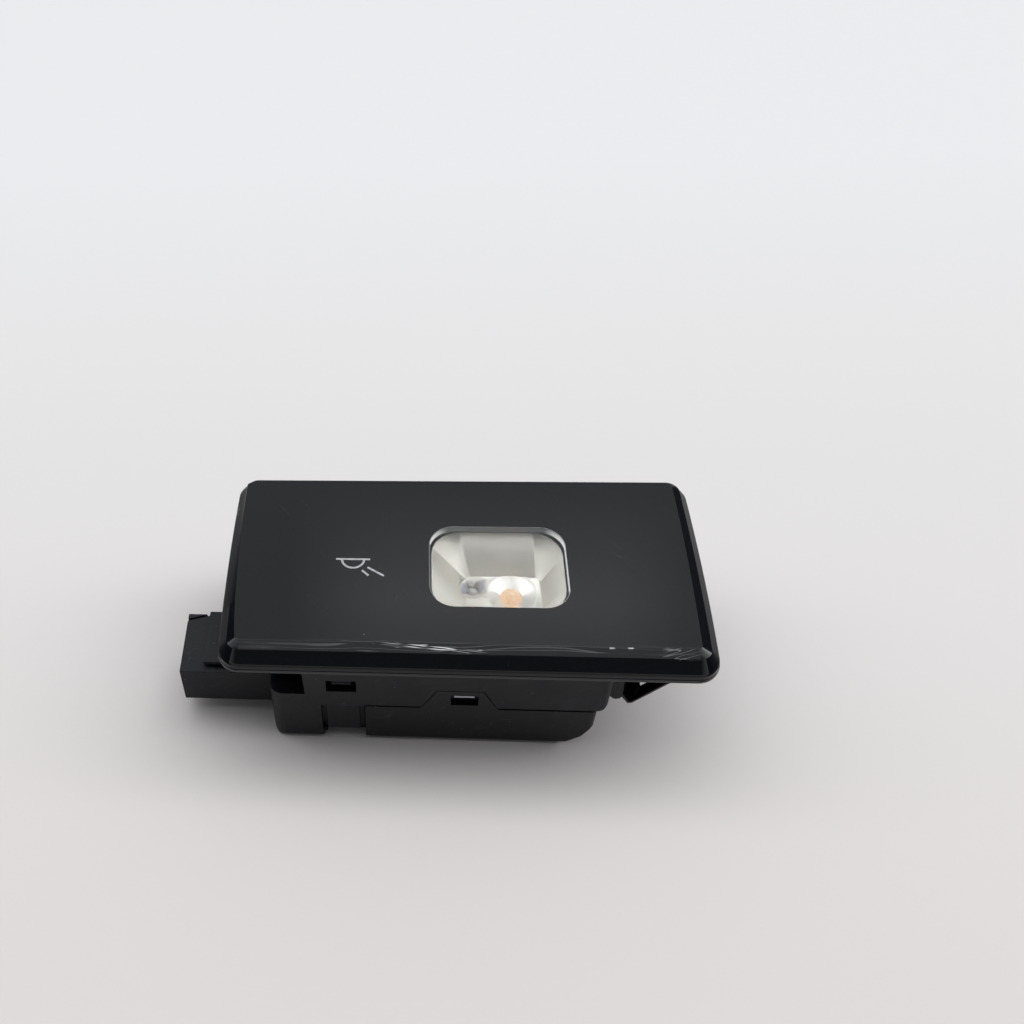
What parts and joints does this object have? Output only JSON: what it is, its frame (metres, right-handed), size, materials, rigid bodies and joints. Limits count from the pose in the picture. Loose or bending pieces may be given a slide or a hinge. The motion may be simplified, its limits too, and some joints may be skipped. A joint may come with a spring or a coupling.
{
  "type": "car dome light",
  "caption": "Car interior dome light: bevelled gloss trim cover with a clear window over a reflector bowl, latched housing, plug socket and sprung retaining clips.",
  "frame": {"origin": "on the resting plane of the back, under the middle of the cover", "axes": "+X along the cover away from the plug socket, +Y across the cover, +Z out of the lit face"},
  "size_m": [0.1067, 0.0498, 0.031],
  "materials": {
    "gloss_cover": "high gloss",
    "clear_window": "clear polished plastic",
    "sign": "translucent white",
    "foil": "bare copper foil",
    "spring_wire": "gold plated",
    "white_plastic": "matt",
    "mirror_coat": "metallised satin",
    "board": "solder resist",
    "led_yellow": "phosphor resin",
    "led_white": "resin",
    "chip_black": "moulded epoxy",
    "ceramic_tan": "matt",
    "ferrite": "matt",
    "screw_steel": "zinc plated",
    "housing_black": "fine grain",
    "shell_black": "satin",
    "socket_black": "fine grain",
    "pin_metal": "tinned",
    "spring_steel": "blackened"
  },
  "bodies": {
    "lamp": {"front_cover": "gloss_cover", "window_lens": "clear_window", "symbol_inlay": "sign", "symbol_diffuser": "white_plastic", "touch_electrode": "foil", "touch_spring": "spring_wire", "light_shaft": "white_plastic", "reflector": "mirror_coat", "circuit_board": "board", "main_led": "led_yellow", "side_led": "led_white", "symbol_led": "led_white", "driver_chip": "chip_black", "power_transistor": "chip_black", "ceramic_capacitors": "ceramic_tan", "chip_resistors": "chip_black", "storage_coil": "ferrite", "board_screws": "screw_steel", "housing_frame": "housing_black", "back_shell": "shell_black", "connector_header": "socket_black", "contact_pins": "pin_metal"},
    "front_clip": {"retaining_clip_front": "spring_steel"},
    "rear_clip": {"retaining_clip_rear": "spring_steel"}
  },
  "joints": [
    {"name": "front_clip_flex", "type": "hinge", "parent": "lamp", "child": "front_clip", "pos_m": [0.0308, -0.0149, 0.0138], "axis": [0, -1, 0], "range_deg": [0, 12], "stiffness_Nm_per_rad": 0.3},
    {"name": "rear_clip_flex", "type": "hinge", "parent": "lamp", "child": "rear_clip", "pos_m": [0.0308, 0.0149, 0.0138], "axis": [0, -1, 0], "range_deg": [0, 12], "stiffness_Nm_per_rad": 0.3}
  ]
}
